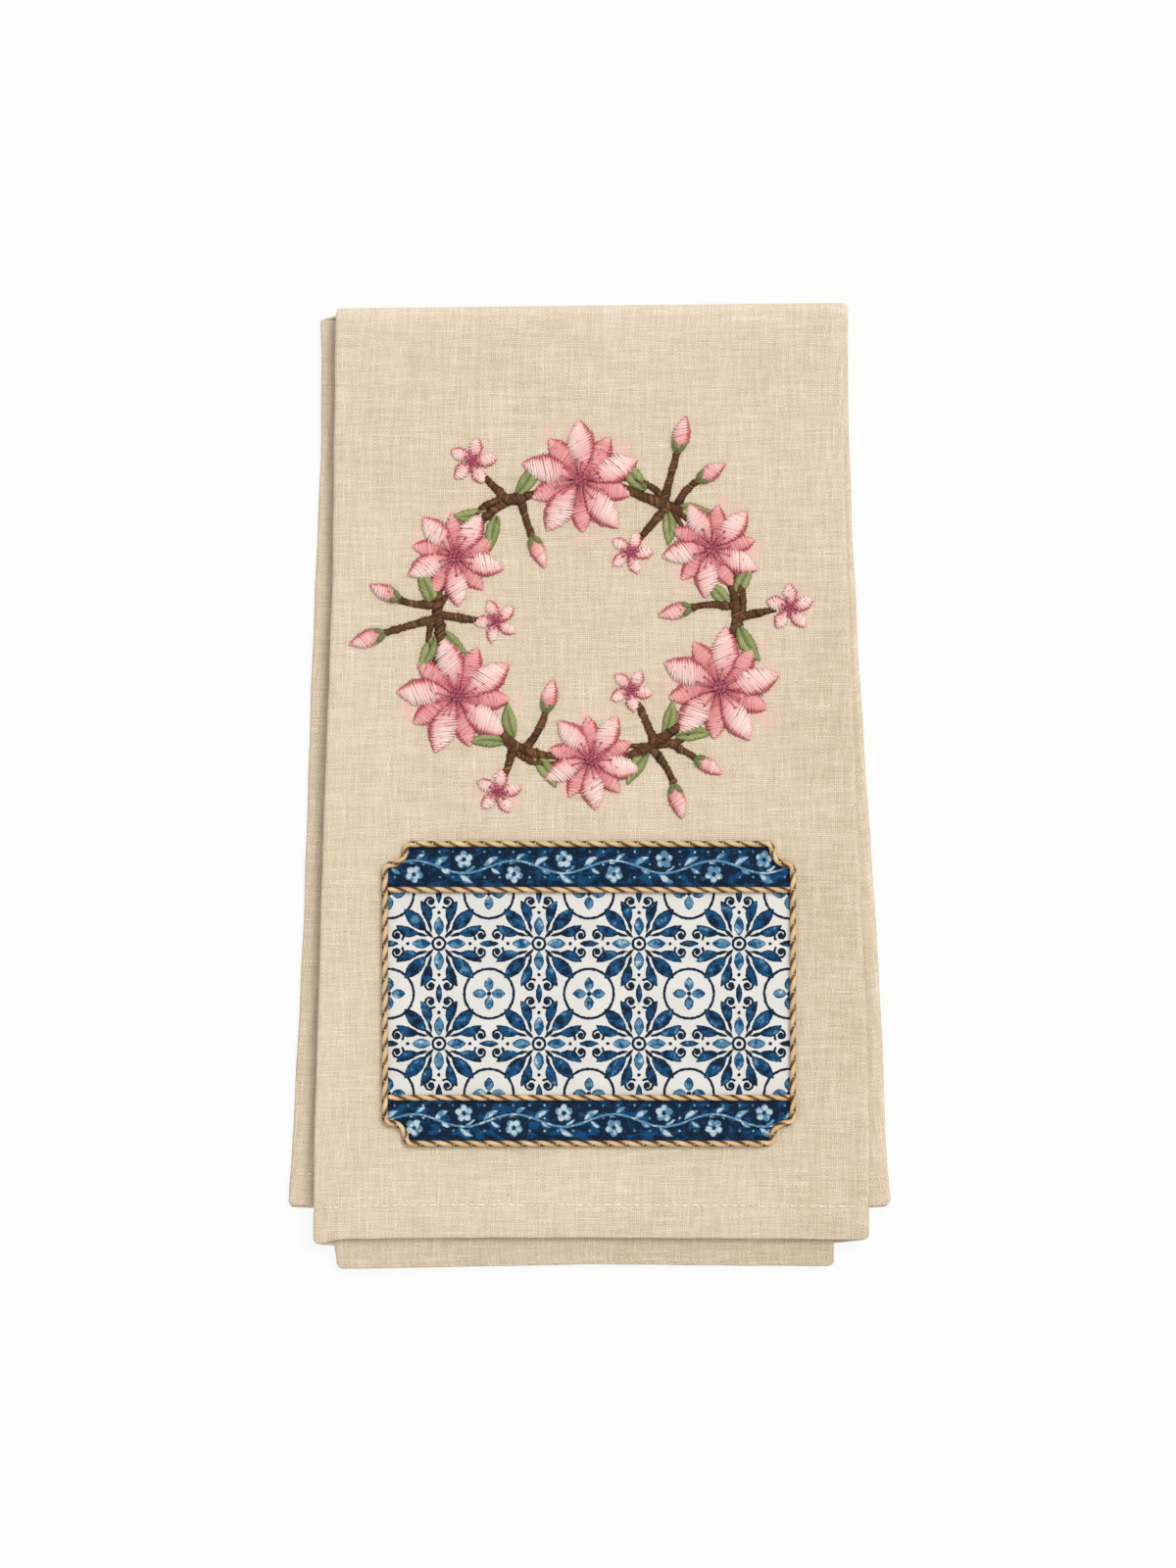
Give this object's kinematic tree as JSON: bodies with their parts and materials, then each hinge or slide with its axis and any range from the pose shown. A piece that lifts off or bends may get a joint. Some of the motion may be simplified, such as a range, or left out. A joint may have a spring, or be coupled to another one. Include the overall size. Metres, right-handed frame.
{
  "type": "folded hand towel",
  "caption": "Linen hand towel folded into a flat layered rectangle, side flaps tucked in, with a sewn-on cotton panel edged in twisted cord.",
  "frame": {"origin": "middle of the folded towel's footprint, on the surface that it lies on", "axes": "+Y along the folded towel from its hems to its top fold, +X to the right of its front face, +Z out of the front face"},
  "size_m": [0.2046, 0.3291, 0.0108],
  "materials": {
    "linen": "slubby plain-weave linen, matt, warm oatmeal",
    "white_cotton": "fine printed cotton, off-white ground with blue tile print",
    "navy_cotton": "fine printed cotton, navy ground with a pale running sprig",
    "gold_cord": "two-ply twisted viscose cord, soft gold sheen",
    "pink_thread": "satin-stitched viscose thread, pale pink to rose, silky",
    "brown_thread": "stem-stitched thread, dark brown, soft sheen",
    "green_thread": "satin-stitched thread, olive green, soft sheen",
    "hem_thread": "sewing thread, pale cream"
  },
  "bodies": {
    "root": {"towel_cloth": "linen", "cotton_field": "white_cotton", "cotton_band_upper": "navy_cotton", "cotton_band_lower": "navy_cotton", "gold_cord_upper": "gold_cord", "gold_cord_lower": "gold_cord", "gold_cord_outline": "gold_cord"}
  },
  "joints": []
}
